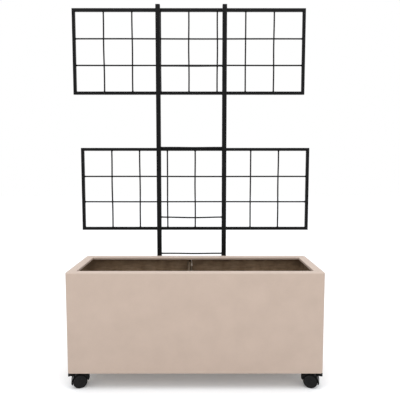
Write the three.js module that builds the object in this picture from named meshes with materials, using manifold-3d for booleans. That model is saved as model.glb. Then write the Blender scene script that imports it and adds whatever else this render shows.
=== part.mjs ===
// Planter with trellis: a moulded stone-composite trough on four braked twin-wheel
// casters, with a powder-coated steel trellis bolted to the back of the trough.
// Millimetres, +Z up, front towards -Y. The origin is the middle of the whole
// object's footprint box, on the floor.

import * as THREE from 'three';
import { mergeVertices } from 'three/addons/utils/BufferGeometryUtils.js';
import Module from 'manifold-3d';

const wasm = await Module();
wasm.setup();

// ---------------------------------------------------------------- driving sizes

// Trough
const troughLength = 900;
const troughDepth = 280;
const troughHeight = 360;
const wallThickness = 9;
const floorThickness = 12;
const rimWidth = 32;
const rimThickness = 10;
const cornerRadius = 10;
const braceThickness = 8;
const braceHeight = 120;
const braceOffset = -25;
const braceBelowRim = 8;
const drainDiameter = 22;
const drainSpacing = 450;
const plugFlangeDiameter = 32;
const plugFlangeThickness = 3;
const cornerPadSize = 48;
const cornerPadHeight = 18;

// Casters
const wheelDiameter = 50;
const wheelWidth = 15;
const wheelSideGap = 1;
const wheelRimThickness = 4.2;
const wheelFaceThickness = 4;
const wheelFaceRecess = 1.8;
const wheelFaceBorder = 4;
const wheelBevel = 1.5;
const wheelHubDiameter = 13;
const axleDiameter = 6;
const wheelBoreSkin = 1.2;
const casterTrail = 15;
const treadClearance = 1.5;
const fenderThickness = 2.5;
const webThickness = 14;
const noseLength = 4;
const noseDrop = 17;
const noseShoulder = 13;
const noseCurve = 8;
const noseChin = 1;
const noseCorner = 9;
const skirtDrop = 9;
const skirtWaist = 2;
const skirtFlare = 1.8;
const skirtTuck = 0.5;
const skirtCorner = 4;
const swivelGap = 0.4;
const bearingDiameter = 19;
const bearingThickness = 3.1;
const stemFlangeDiameter = 30;
const stemFlangeThickness = 2.5;
const pintleDiameter = 8;
const pintleLength = 20;
const stemThreadDiameter = 10;
const stemThreadTail = 3;
const casterInsetX = 50;
const casterInsetY = 37;
// The pedals point outwards, each turned by this angle towards its corner of the trough.
const casterTurn = 16.5;

// Brake lever of each caster
const brakeTravel = 17;
const leverPivotInset = 5;
const leverPivotAngle = 35;
const leverThickness = 8.4;
const leverHubDiameter = 8;
const leverArmWidth = 6.8;
const leverTipWidth = 4.4;
const leverSlotGap = 0.4;
const leverSlotFrom = 10;
const leverSlotTo = 60;
const leverRoom = 1.5;
const trunnionDiameter = 4;
const brakeBarDiameter = 5;
const brakeBarAngle = 69;
const brakeBarReach = 5;
const brakeBarRoom = 1;
const brakeBarMargin = 13;
const pedalWidth = 22;
const pedalLength = 19;
const pedalThickness = 6;
const pedalAngle = 44;
const pedalClearance = 2.5;
const pedalHeel = 2.9;
const pedalHook = 5.1;
const pedalSweep = 6.6;
const pedalToe = 2.4;

// Trellis
const postSize = 18;
const postWall = 1.5;
const postSpacing = 267;
const postOffset = -18;
const postFootRise = 40;
const trellisHeight = 1430;
const capThickness = 2;
const capInsertDepth = 10;
const rungDiameter = 6;
const lowestRungRise = 8;
const panelWidth = 940;
const panelHeight = 340;
const barSize = 12;
const barWall = 1.2;
const wireDiameter = 6;
const weldSink = 0.4;
const uprightCount = 7;
const crosswireCount = 2;
// A panel's offset is to the side, and its drop is from the top of the posts to its
// centre. The rungs between the posts rise from the centre of the panel near them.
const upperPanelOffset = -28;
const upperPanelDrop = 179;
const upperRungRise = -59;
const lowerPanelOffset = -3;
const lowerPanelDrop = 735;
const lowerRungRise = -115;
const middleRungRise = 171;

// Fasteners
const wallBoltDiameter = 6;
const wallBoltHeadDiameter = 11;
const wallBoltHeadHeight = 4;
const wallBoltRise = 90;
const wallBoltDrop = 80;
const wallBoltTail = 2;
const wallNutCorners = 11.5;
const wallNutThickness = 5;
const wallNutFlangeDiameter = 24;
const wallNutFlangeThickness = 2;
const stemNutCorners = 18.5;
const stemNutThickness = 8;
const stemNutFlangeDiameter = 30;
const stemNutFlangeThickness = 2;

// Fits and fineness. A cutter runs past the face that it opens by the overrun.
const fitGap = 0.3;
const overrun = 1;
const wheelSides = 20;
const hoodSides = 24;
const hexagonSides = 6;
const fastenerSides = 12;
const rodSides = 8;
const cornerSides = 4;

// ------------------------------------------------------------ sizes that follow

const wheelRadius = wheelDiameter / 2;
const pocketRadius = wheelRadius + treadClearance;
const hoodRadius = pocketRadius + fenderThickness;
const hoodTop = wheelRadius + hoodRadius;
const noseTip = -hoodRadius - noseLength;
const skirtWide = hoodRadius + skirtFlare;
const wheelSpacing = webThickness + 2 * wheelSideGap;
const axleBoreDepth = wheelWidth - wheelFaceRecess - wheelBoreSkin;
const wheelInnerRadius = wheelRadius - wheelRimThickness;
const leverPivotRadius = wheelInnerRadius - leverPivotInset;
const troughBottom = hoodTop + swivelGap + bearingThickness + stemFlangeThickness;
const troughTop = troughBottom + troughHeight;
const floorTop = troughBottom + floorThickness;
const plugDiameter = drainDiameter - 2 * fitGap;
const rimUnderside = troughTop - rimThickness;
const innerHalfLength = troughLength / 2 - wallThickness;
const innerHalfDepth = troughDepth / 2 - wallThickness;
const cornerPadTop = floorTop + cornerPadHeight;
const casterX = troughLength / 2 - casterInsetX;
const casterY = troughDepth / 2 - casterInsetY;
const wheelPairHalfWidth = wheelSpacing / 2 + wheelWidth;
const postFront = troughDepth / 2;
const postBack = postFront + postSize;
const postCentreY = postFront + postSize / 2;
const postBottom = troughBottom + postFootRise;
const postTop = trellisHeight - capThickness;
const wallBoltHeights = [troughBottom + wallBoltRise, troughTop - wallBoltDrop];
const postXs = [postOffset - postSpacing / 2, postOffset + postSpacing / 2];
const panelCentreY = postBack + barSize / 2;
const railRise = (panelHeight - barSize) / 2;
const panels = [
  { name: 'upper_panel', offset: upperPanelOffset, drop: upperPanelDrop, rungs: [upperRungRise] },
  { name: 'lower_panel', offset: lowerPanelOffset, drop: lowerPanelDrop,
    rungs: [lowerRungRise, middleRungRise] },
];
const panelHeightAt = ({ drop }) => trellisHeight - drop;
const rungHeights = [
  troughTop + lowestRungRise,
  ...panels.flatMap((panel) => panel.rungs.map((rise) => panelHeightAt(panel) + rise)),
].sort((a, b) => a - b);

// -------------------------------------------------------------------- finishes

const finish = (color, roughness, metalness) =>
  new THREE.MeshStandardMaterial({ color, roughness, metalness });
const paintedStone = finish(0xc9b6a8, 0.85, 0);
const rawComposite = finish(0x54463a, 0.9, 0);
const blackSteel = finish(0x17181a, 0.45, 0.3);
const blackPlastic = finish(0x1b1b1c, 0.5, 0);
const wheelPlastic = finish(0x242425, 0.55, 0);
const blackRubber = finish(0x202020, 0.8, 0);
const zincSteel = finish(0xa9adb0, 0.35, 0.9);

// ---------------------------------------------------------------- solid helpers

function signedVolume(geometry) {
  const p = geometry.attributes.position;
  const [a, b, c] = [new THREE.Vector3(), new THREE.Vector3(), new THREE.Vector3()];
  let volume = 0;
  for (let i = 0; i < geometry.index.count; i += 3) {
    a.fromBufferAttribute(p, geometry.index.getX(i));
    b.fromBufferAttribute(p, geometry.index.getX(i + 1));
    c.fromBufferAttribute(p, geometry.index.getX(i + 2));
    volume += a.dot(b.cross(c)) / 6;
  }
  return volume;
}

// One closed surface: shared corners merged, slivers at the poles of a turned
// shape dropped, and every face pointing out.
function closed(geometry) {
  const bare = geometry.clone();
  bare.deleteAttribute('normal');
  bare.deleteAttribute('uv');
  const merged = mergeVertices(bare, 1e-4);
  const faces = [];
  for (let i = 0; i < merged.index.count; i += 3) {
    const [a, b, c] = [0, 1, 2].map((k) => merged.index.getX(i + k));
    if (a !== b && b !== c && c !== a) faces.push(a, b, c);
  }
  merged.setIndex(faces);
  if (signedVolume(merged) < 0) merged.setIndex(faces.reverse());
  return merged;
}

function toSolid(geometry) {
  const mesh = closed(geometry);
  return new wasm.Manifold(new wasm.Mesh({
    numProp: 3,
    vertProperties: new Float32Array(mesh.attributes.position.array),
    triVerts: new Uint32Array(mesh.index.array),
  }));
}

function fromSolid(solid) {
  const mesh = solid.getMesh();
  const geometry = new THREE.BufferGeometry();
  geometry.setAttribute('position', new THREE.BufferAttribute(mesh.vertProperties, 3));
  geometry.setIndex(new THREE.BufferAttribute(mesh.triVerts, 1));
  return geometry;
}

function cut(geometry, cutters) {
  return fromSolid(cutters.reduce((solid, tool) => solid.subtract(toSolid(tool)), toSolid(geometry)));
}

function common(geometry, other) {
  return fromSolid(toSolid(geometry).intersect(toSolid(other)));
}

function join(pieces) {
  return fromSolid(pieces.slice(1).reduce((solid, piece) => solid.add(toSolid(piece)), toSolid(pieces[0])));
}

// A box between two opposite corners.
function block(low, high) {
  const size = high.map((value, axis) => value - low[axis]);
  const middle = high.map((value, axis) => (value + low[axis]) / 2);
  return new THREE.BoxGeometry(...size).translate(...middle);
}

// A round bar along one axis, between two places on that axis.
function bar(axis, diameter, from, to, [a, b], sides = fastenerSides) {
  const geometry = new THREE.CylinderGeometry(diameter / 2, diameter / 2, Math.abs(to - from), sides);
  const middle = (from + to) / 2;
  if (axis === 'x') return geometry.rotateZ(Math.PI / 2).translate(middle, a, b);
  if (axis === 'y') return geometry.translate(a, middle, b);
  return geometry.rotateX(Math.PI / 2).translate(a, b, middle);
}

// A cutter for a round hole, whose flats stand a fit gap clear of the pin inside it.
function hole(axis, pinDiameter, from, to, place, sides = fastenerSides) {
  return bar(axis, (pinDiameter + 2 * fitGap) / Math.cos(Math.PI / sides), from, to, place, sides);
}

// A flat outline in X and Z, thickened along Y.
function slabY(shape, from, to, curveSegments = 6) {
  const settings = { depth: to - from, bevelEnabled: false, curveSegments };
  return new THREE.ExtrudeGeometry(shape, settings).rotateX(Math.PI / 2).translate(0, to, 0);
}

// A flat outline in X and Y, thickened along Z.
function slabZ(shape, from, to, curveSegments = cornerSides) {
  const settings = { depth: to - from, bevelEnabled: false, curveSegments };
  return new THREE.ExtrudeGeometry(shape, settings).translate(0, 0, from);
}

// An upright prism with rounded corners.
function roundedPrism(length, depth, radius, from, to) {
  const [x, y] = [length / 2 - radius, depth / 2 - radius];
  const shape = new THREE.Shape();
  shape.absarc(x, y, radius, 0, Math.PI / 2);
  shape.absarc(-x, y, radius, Math.PI / 2, Math.PI);
  shape.absarc(-x, -y, radius, Math.PI, Math.PI * 1.5);
  shape.absarc(x, -y, radius, Math.PI * 1.5, Math.PI * 2);
  return slabZ(shape, from, to);
}

// A shape turned about the Y axis from [radius, y] points; flats face up and down.
function turned(points, sides) {
  const profile = points.map(([radius, y]) => new THREE.Vector2(radius, y));
  return closed(new THREE.LatheGeometry(profile, sides, Math.PI / sides));
}

// A square tube along Z from the origin up, before it is placed.
function squareTube(size, wall, length) {
  const outside = block([-size / 2, -size / 2, 0], [size / 2, size / 2, length]);
  const half = size / 2 - wall;
  return cut(outside, [block([-half, -half, -overrun], [half, half, length + overrun])]);
}

// A fastener along +Z: head below zero, shank above it.
function fastener(headDiameter, headHeight, diameter, length, sides = fastenerSides) {
  const profile = [[0, -headHeight], [headDiameter / 2, -headHeight], [headDiameter / 2, 0],
    [diameter / 2, 0], [diameter / 2, length], [0, length]];
  return turned(profile, sides).rotateX(Math.PI / 2);
}

// A hexagon nut on its own washer, standing on z = 0 round the Z axis.
function flangeNut(flangeDiameter, flangeThickness, corners, thickness, threadDiameter) {
  const top = flangeThickness + thickness;
  const flange = bar('z', flangeDiameter, 0, flangeThickness, [0, 0]);
  const hexagon = bar('z', corners, flangeThickness / 2, top, [0, 0], hexagonSides);
  const thread = hole('z', threadDiameter, -overrun, top + overrun, [0, 0], rodSides);
  return cut(join([flange, hexagon]), [thread]);
}

function polar(radius, degrees) {
  const angle = THREE.MathUtils.degToRad(degrees);
  return new THREE.Vector2(radius * Math.cos(angle), radius * Math.sin(angle));
}

// Part of a ring between two radii and two angles, in degrees.
function sector(inner, outer, from, to) {
  const [a, b] = [THREE.MathUtils.degToRad(from), THREE.MathUtils.degToRad(to)];
  const shape = new THREE.Shape();
  shape.absarc(0, 0, outer, a, b, false);
  shape.absarc(0, 0, inner, b, a, true);
  return shape;
}

// A flat arm between two points, with its width at each of them.
function taperedArm(from, to, fromWidth, toWidth) {
  const across = to.clone().sub(from).normalize().rotateAround(new THREE.Vector2(), Math.PI / 2);
  const corner = (end, width, side) => end.clone().addScaledVector(across, side * width / 2);
  return new THREE.Shape([corner(from, fromWidth, -1), corner(to, toWidth, -1),
    corner(to, toWidth, 1), corner(from, fromWidth, 1)]);
}

function addMesh(parent, name, geometry, material) {
  const mesh = new THREE.Mesh(geometry, material);
  mesh.name = name;
  parent.add(mesh);
  return mesh;
}

const object = new THREE.Group();

// ----------------------------------------------------------------------- trough

const casterPlaces = [
  { name: 'front_left', x: -casterX, y: -casterY },
  { name: 'front_right', x: casterX, y: -casterY },
  { name: 'rear_left', x: -casterX, y: casterY },
  { name: 'rear_right', x: casterX, y: casterY },
];

const wallBoltPlaces = ['left', 'right'].flatMap((side, i) =>
  ['lower', 'upper'].map((level, k) => ({ name: `${level}_${side}`, x: postXs[i], z: wallBoltHeights[k] })));

const drains = [{ name: 'left', x: -drainSpacing / 2 }, { name: 'right', x: drainSpacing / 2 }];

// A thickened corner of the floor, run into both walls, that a caster's stem passes.
function cornerPad({ x, y }) {
  const [outX, outY] = [Math.sign(x), Math.sign(y)];
  const near = [x - outX * cornerPadSize / 2, y - outY * cornerPadSize / 2];
  const far = [outX * (innerHalfLength + overrun), outY * (innerHalfDepth + overrun)];
  return block(
    [Math.min(near[0], far[0]), Math.min(near[1], far[1]), floorTop - overrun],
    [Math.max(near[0], far[0]), Math.max(near[1], far[1]), cornerPadTop]);
}

function makeTrough() {
  const trough = new THREE.Group();
  const innerLength = innerHalfLength * 2;
  const innerDepth = innerHalfDepth * 2;
  const innerRadius = Math.max(cornerRadius - wallThickness, 1);
  const outside = roundedPrism(troughLength, troughDepth, cornerRadius, troughBottom, troughTop);
  const cavity = roundedPrism(innerLength, innerDepth, innerRadius, floorTop, rimUnderside);
  const mouth = block(
    [rimWidth - troughLength / 2, rimWidth - troughDepth / 2, rimUnderside - overrun],
    [troughLength / 2 - rimWidth, troughDepth / 2 - rimWidth, troughTop + overrun]);
  const drainHoles = drains.map(({ x }) =>
    hole('z', plugDiameter, troughBottom - overrun, floorTop + overrun, [x, 0]));
  const stemHoles = casterPlaces.map(({ x, y }) =>
    hole('z', stemThreadDiameter, troughBottom - overrun, cornerPadTop + overrun, [x, y]));
  const boltHoles = wallBoltPlaces.map(({ x, z }) =>
    hole('y', wallBoltDiameter, innerHalfDepth - overrun, postFront + overrun, [x, z], rodSides));
  const cornerPads = casterPlaces.map(cornerPad);
  const bare = cut(outside, [cavity, mouth]);
  const shell = cut(join([bare, ...cornerPads]), [...drainHoles, ...stemHoles, ...boltHoles]);
  addMesh(trough, 'planter_shell', shell, paintedStone);

  const braceTop = rimUnderside - braceBelowRim;
  const brace = block(
    [braceOffset - braceThickness / 2, -innerHalfDepth, braceTop - braceHeight],
    [braceOffset + braceThickness / 2, innerHalfDepth, braceTop]);
  addMesh(trough, 'centre_brace', brace, rawComposite);

  for (const { name, x } of drains) {
    const plug = turned([
      [0, 0], [plugDiameter / 2, 0], [plugDiameter / 2, floorThickness],
      [plugFlangeDiameter / 2, floorThickness],
      [plugFlangeDiameter / 2, floorThickness + plugFlangeThickness],
      [0, floorThickness + plugFlangeThickness]], fastenerSides);
    const mesh = addMesh(trough, `drain_plug_${name}`, plug.rotateX(Math.PI / 2), blackRubber);
    mesh.position.set(x, 0, troughBottom);
  }

  return trough;
}

// ---------------------------------------------------------------------- casters

// Side outline of the hood about the axle: a ring over the wheels, with a skirt that
// flares and tucks in again, and the rounded nose on the stem's side.
function hoodOutline() {
  const noseHeight = hoodRadius - noseDrop;
  const skirtAngle = Math.asin(skirtDrop / hoodRadius) / 2;
  const skirtTop = new THREE.Vector2(hoodRadius, 0).rotateAround(new THREE.Vector2(), skirtAngle);
  const shape = new THREE.Shape();
  shape.moveTo(hoodRadius - skirtTuck, -skirtDrop);
  shape.quadraticCurveTo(skirtWide, -(skirtDrop + skirtWaist) / 2, skirtWide, -skirtWaist);
  shape.lineTo(skirtTop.x, skirtTop.y);
  shape.absarc(0, 0, hoodRadius, skirtAngle, Math.PI / 2, false);
  shape.lineTo(noseTip + noseShoulder, hoodRadius);
  shape.bezierCurveTo(noseTip + noseShoulder / 2, hoodRadius, noseTip, noseHeight + noseCurve,
    noseTip, noseHeight);
  shape.bezierCurveTo(noseTip, noseHeight - noseCurve, noseTip + noseLength, -noseChin,
    fitGap - pocketRadius, -noseChin);
  shape.lineTo(-wheelHubDiameter, -skirtDrop);
  shape.closePath();
  return shape;
}

// The hood from above: its nose has round corners, and its skirt smaller ones.
function hoodPlan() {
  const half = wheelPairHalfWidth;
  const shape = new THREE.Shape();
  shape.absarc(skirtWide - skirtCorner, half - skirtCorner, skirtCorner, 0, Math.PI / 2);
  shape.absarc(noseTip + noseCorner, half - noseCorner, noseCorner, Math.PI / 2, Math.PI);
  shape.absarc(noseTip + noseCorner, noseCorner - half, noseCorner, Math.PI, Math.PI * 1.5);
  shape.absarc(skirtWide - skirtCorner, skirtCorner - half, skirtCorner, Math.PI * 1.5, Math.PI * 2);
  return shape;
}

function makeHood() {
  const halfWeb = webThickness / 2;
  const pastWeb = halfWeb + overrun;
  const slot = leverThickness / 2 + leverSlotGap;
  const barRoom = brakeBarDiameter / 2 + brakeBarRoom;
  const pivot = polar(leverPivotRadius, leverPivotAngle);
  const whole = common(
    slabY(hoodOutline(), -wheelPairHalfWidth, wheelPairHalfWidth, hoodSides / 4),
    slabZ(hoodPlan(), -skirtDrop - overrun, hoodRadius + overrun));
  const pockets = [1, -1].map((side) =>
    bar('y', pocketRadius * 2, side * halfWeb, side * (wheelPairHalfWidth + overrun), [0, 0], hoodSides));
  const slotInside = slabY(sector(wheelHubDiameter / 2 + leverRoom, pocketRadius - overrun,
    leverSlotFrom, 90), -slot, slot);
  const slotOutside = slabY(sector(leverPivotRadius + leverHubDiameter / 2, hoodRadius + noseCurve,
    leverSlotFrom, leverSlotTo), -slot, slot);
  const barWindow = slabY(sector(brakeBarAt(0).length() - barRoom, brakeBarAt(brakeTravel).length() + barRoom,
    brakeBarAngle - brakeBarMargin, 90), -pastWeb, pastWeb);
  const axleHole = hole('y', axleDiameter, -pastWeb, pastWeb, [0, 0]);
  const pivotHole = hole('y', trunnionDiameter, -pastWeb, pastWeb, [pivot.x, pivot.y], rodSides);
  const pintleHole = hole('z', pintleDiameter, hoodRadius - pintleLength - overrun,
    hoodRadius + overrun, [-casterTrail, 0]);
  return cut(whole, [...pockets, slotInside, slotOutside, barWindow, axleHole, pivotHole, pintleHole]);
}

// Centre of the brake bar about the axle when the pedal is pressed by an angle.
// With the pedal fully down, the bar stops just short of the wheel's inner rim.
function brakeBarAt(pressed) {
  const pivot = polar(leverPivotRadius, leverPivotAngle);
  const down = polar(wheelInnerRadius - fitGap - brakeBarDiameter / 2, brakeBarAngle);
  return down.rotateAround(pivot, THREE.MathUtils.degToRad(brakeTravel - pressed));
}

// The lever is an arm that carries the brake bar, an arm that goes out through the
// hood and the pedal on it, whose heel hooks down over the hood.
function makeBrakeLever() {
  const pivot = polar(leverPivotRadius, leverPivotAngle);
  const bearing = brakeBarAt(0);
  const heel = polar(hoodRadius + pedalClearance, pedalAngle);
  const half = leverThickness / 2;
  const trunnionHalf = webThickness / 2 - fitGap;
  const barHalf = wheelSpacing / 2 + brakeBarReach;
  const top = heel.y + pedalThickness / 2;
  const underside = heel.y - pedalThickness / 2;
  const toe = heel.x + pedalLength;
  const neck = new THREE.Vector2(heel.x + pedalHeel, heel.y);

  const pedal = new THREE.Shape();
  pedal.moveTo(heel.x, heel.y);
  pedal.lineTo(neck.x, heel.y - pedalHook);
  pedal.quadraticCurveTo(neck.x + pedalSweep / 2, underside, neck.x + pedalSweep, underside);
  pedal.lineTo(toe - pedalToe, underside);
  pedal.quadraticCurveTo(toe, heel.y, toe - pedalToe, top);
  pedal.lineTo(heel.x, top);
  pedal.closePath();
  return join([
    bar('y', leverHubDiameter, -half, half, [pivot.x, pivot.y]),
    slabY(taperedArm(pivot, bearing, leverArmWidth, leverTipWidth), -half, half),
    slabY(taperedArm(pivot, neck, leverArmWidth, leverArmWidth), -half, half),
    slabY(pedal, -pedalWidth / 2, pedalWidth / 2, 3),
    bar('y', trunnionDiameter, -trunnionHalf, trunnionHalf, [pivot.x, pivot.y], rodSides),
    bar('y', brakeBarDiameter, -barHalf, barHalf, [bearing.x, bearing.y], rodSides),
  ]);
}

// One wheel, turned about Y: a cup that opens towards the web, with a hub inside.
function makeWheel() {
  const flat = Math.cos(Math.PI / wheelSides);
  const tread = wheelRadius / flat;
  const inside = tread - wheelRimThickness;
  const bore = axleDiameter / 2 + fitGap;
  const face = wheelWidth - wheelFaceRecess;
  return turned([
    [0, face], [inside - wheelFaceBorder / 2, face], [inside, wheelWidth], [tread - wheelBevel, wheelWidth],
    [tread, wheelWidth - wheelBevel], [tread, wheelBevel], [tread - wheelBevel, 0], [inside, 0],
    [inside, wheelWidth - wheelFaceThickness], [wheelHubDiameter / 2, wheelWidth - wheelFaceThickness],
    [wheelHubDiameter / 2, 0], [bore, 0], [bore, axleBoreDepth], [0, axleBoreDepth]], wheelSides);
}

// The fixed part of a caster: a pintle that the hood turns on, a bearing collar, a
// flange under the trough and a threaded stem that goes up through the floor.
function makeStem() {
  const collarBottom = hoodTop + swivelGap;
  const flangeBottom = collarBottom + bearingThickness;
  const threadTop = cornerPadTop + stemNutFlangeThickness + stemNutThickness + stemThreadTail;
  return turned([
    [0, hoodTop - pintleLength], [pintleDiameter / 2, hoodTop - pintleLength],
    [pintleDiameter / 2, collarBottom], [bearingDiameter / 2, collarBottom],
    [bearingDiameter / 2, flangeBottom], [stemFlangeDiameter / 2, flangeBottom],
    [stemFlangeDiameter / 2, troughBottom], [stemThreadDiameter / 2, troughBottom],
    [stemThreadDiameter / 2, threadTop], [0, threadTop]], fastenerSides).rotateX(Math.PI / 2);
}

// A caster's own X axis points the way the pedal does, away from the trough's middle.
function makeCaster({ name, x, y }) {
  const caster = new THREE.Group();
  const pedalWay = polar(1, casterTurn);
  caster.position.set(x, y, 0);
  caster.rotation.z = Math.atan2(Math.sign(y) * pedalWay.y, Math.sign(x) * pedalWay.x);
  addMesh(caster, `caster_${name}_stem`, makeStem(), zincSteel);
  const nut = flangeNut(stemNutFlangeDiameter, stemNutFlangeThickness, stemNutCorners,
    stemNutThickness, stemThreadDiameter);
  addMesh(caster, `caster_${name}_nut`, nut.translate(0, 0, cornerPadTop), zincSteel);

  const undercarriage = new THREE.Group();
  undercarriage.position.set(casterTrail, 0, wheelRadius);
  caster.add(undercarriage);
  addMesh(undercarriage, `caster_${name}_hood`, makeHood(), blackPlastic);
  const axleHalf = wheelSpacing / 2 + axleBoreDepth - fitGap;
  addMesh(undercarriage, `caster_${name}_axle`,
    bar('y', axleDiameter, -axleHalf, axleHalf, [0, 0]), zincSteel);
  addMesh(undercarriage, `caster_${name}_brake_lever`, makeBrakeLever(), blackPlastic);
  for (const side of [-1, 1]) {
    const end = side * Math.sign(x) < 0 ? 'front' : 'rear';
    const wheel = addMesh(undercarriage, `caster_${name}_wheel_${end}`, makeWheel(), wheelPlastic);
    wheel.position.y = side * wheelSpacing / 2;
    wheel.rotation.x = side < 0 ? Math.PI : 0;
  }
  return caster;
}

// --------------------------------------------------------------------- trellis

function makePost(x) {
  const length = postTop - postBottom;
  const tube = squareTube(postSize, postWall, length).translate(x, postCentreY, postBottom);
  const boltHoles = wallBoltHeights.map((z) =>
    hole('y', wallBoltDiameter, postFront - overrun, postBack + overrun, [x, z], rodSides));
  return cut(tube, boltHoles);
}

// A plug for one end of a post: a plate over the end and a block inside the tube.
function makePostPlug(x, end, outward) {
  const inside = postSize / 2 - postWall - fitGap;
  const far = end + outward * capThickness;
  const deep = end - outward * capInsertDepth;
  const span = (a, b) => [Math.min(a, b), Math.max(a, b)];
  const [plateLow, plateHigh] = span(end, far);
  const [insertLow, insertHigh] = span(deep, far);
  return join([
    block([x - postSize / 2, postFront, plateLow], [x + postSize / 2, postBack, plateHigh]),
    block([x - inside, postCentreY - inside, insertLow], [x + inside, postCentreY + inside, insertHigh]),
  ]);
}

// A square tube along one side of a panel, mitred at both ends so that four of
// them close into a frame. It is built upright on the middle of its length.
function mitredBar(length, inwardX) {
  const tube = squareTube(barSize, barWall, length).translate(0, 0, -length / 2);
  const inner = inwardX * (barSize / 2 + overrun);
  const wedge = (end) => {
    const outerTip = end * (length / 2 - fitGap / 2 + overrun);
    const innerTip = end * (length / 2 - fitGap / 2 - barSize - overrun);
    const past = end * (length / 2 + barSize);
    return slabY(new THREE.Shape([
      new THREE.Vector2(-inner, outerTip), new THREE.Vector2(inner, innerTip),
      new THREE.Vector2(inner, past), new THREE.Vector2(-inner, past)]), -barSize, barSize);
  };
  return cut(tube, [wedge(1), wedge(-1)]);
}

function makePanel({ name, offset, drop }) {
  const panel = new THREE.Group();
  panel.position.set(offset, panelCentreY, panelHeightAt({ drop }));
  const stileReach = (panelWidth - barSize) / 2;
  const innerHalfWidth = panelWidth / 2 - barSize;
  const innerHalfHeight = panelHeight / 2 - barSize;

  for (const [word, side] of [['left', -1], ['right', 1]]) {
    const stile = addMesh(panel, `${name}_stile_${word}`, mitredBar(panelHeight, -side), blackSteel);
    stile.position.x = side * stileReach;
  }
  for (const [word, side] of [['top', 1], ['bottom', -1]]) {
    const rail = addMesh(panel, `${name}_rail_${word}`,
      mitredBar(panelWidth, -side).rotateY(Math.PI / 2).rotateX(Math.PI), blackSteel);
    rail.position.z = side * railRise;
  }

  // The upright wires run in front of the cross wires and are welded to them.
  const layer = wireDiameter / 2 - weldSink;
  const uprightPitch = 2 * innerHalfWidth / (uprightCount + 1);
  const crosswirePitch = 2 * innerHalfHeight / (crosswireCount + 1);
  const wires = [];
  for (let i = 0; i < uprightCount; i++) {
    const x = (i - (uprightCount - 1) / 2) * uprightPitch;
    wires.push(bar('z', wireDiameter, -innerHalfHeight, innerHalfHeight, [x, -layer], rodSides));
  }
  for (let i = 0; i < crosswireCount; i++) {
    const z = (i - (crosswireCount - 1) / 2) * crosswirePitch;
    wires.push(bar('x', wireDiameter, -innerHalfWidth, innerHalfWidth, [layer, z], rodSides));
  }
  addMesh(panel, `${name}_lattice`, join(wires), blackSteel);
  return panel;
}

function makeTrellis() {
  const trellis = new THREE.Group();
  ['left', 'right'].forEach((side, i) => {
    addMesh(trellis, `trellis_post_${side}`, makePost(postXs[i]), blackSteel);
    addMesh(trellis, `post_cap_${side}`, makePostPlug(postXs[i], postTop, 1), blackPlastic);
    addMesh(trellis, `post_foot_${side}`, makePostPlug(postXs[i], postBottom, -1), blackPlastic);
  });
  rungHeights.forEach((z, i) => {
    const rung = bar('x', rungDiameter, postXs[0] + postSize / 2, postXs[1] - postSize / 2,
      [postCentreY, z], rodSides);
    addMesh(trellis, `trellis_rung_${i + 1}`, rung, blackSteel);
  });
  panels.forEach((panel) => trellis.add(makePanel(panel)));
  return trellis;
}

// ------------------------------------------------- bolts that hold the trellis

function makeWallFixings() {
  const fixings = new THREE.Group();
  const nutDepth = wallNutFlangeThickness + wallNutThickness;
  const boltLength = postBack - innerHalfDepth + nutDepth + wallBoltTail;
  for (const { name, x, z } of wallBoltPlaces) {
    const bolt = fastener(wallBoltHeadDiameter, wallBoltHeadHeight, wallBoltDiameter, boltLength);
    addMesh(fixings, `wall_bolt_${name}`,
      bolt.rotateX(Math.PI / 2).translate(x, postBack, z), zincSteel);
    const nut = flangeNut(wallNutFlangeDiameter, wallNutFlangeThickness, wallNutCorners,
      wallNutThickness, wallBoltDiameter);
    addMesh(fixings, `wall_nut_${name}`,
      nut.rotateX(Math.PI / 2).translate(x, innerHalfDepth, z), zincSteel);
  }
  return fixings;
}

// --------------------------------------------------------------------- assembly

object.add(makeTrough());
casterPlaces.forEach((place) => object.add(makeCaster(place)));
object.add(makeTrellis());
object.add(makeWallFixings());

// The origin goes to the middle of the footprint box, on the floor.
object.updateMatrixWorld(true);
const extent = new THREE.Box3().setFromObject(object, true);
const middle = extent.getCenter(new THREE.Vector3());
object.position.set(-middle.x, -middle.y, -extent.min.z);

export default object;
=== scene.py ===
# %% [markdown]
# # A planter with a trellis
# The object is a moulded trough of stone and fibre composite, painted a warm taupe outside and
# left raw inside. It stands on four braked twin-wheel casters. Two square steel posts are bolted
# to its back wall and carry two wire panels, all powder coated in satin black.
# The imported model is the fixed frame: it says where every piece goes and how large it is. Each
# cell below models one kind of piece around it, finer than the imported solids, with rounded
# edges, welds, wavy wires and real finishes. Lengths are in metres, except that the outlines of
# turned and moulded forms are drawn in millimetres.

# %% Load the frame
import math
from contextlib import contextmanager

import bmesh
import bpy
from mathutils import Matrix, Vector


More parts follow.
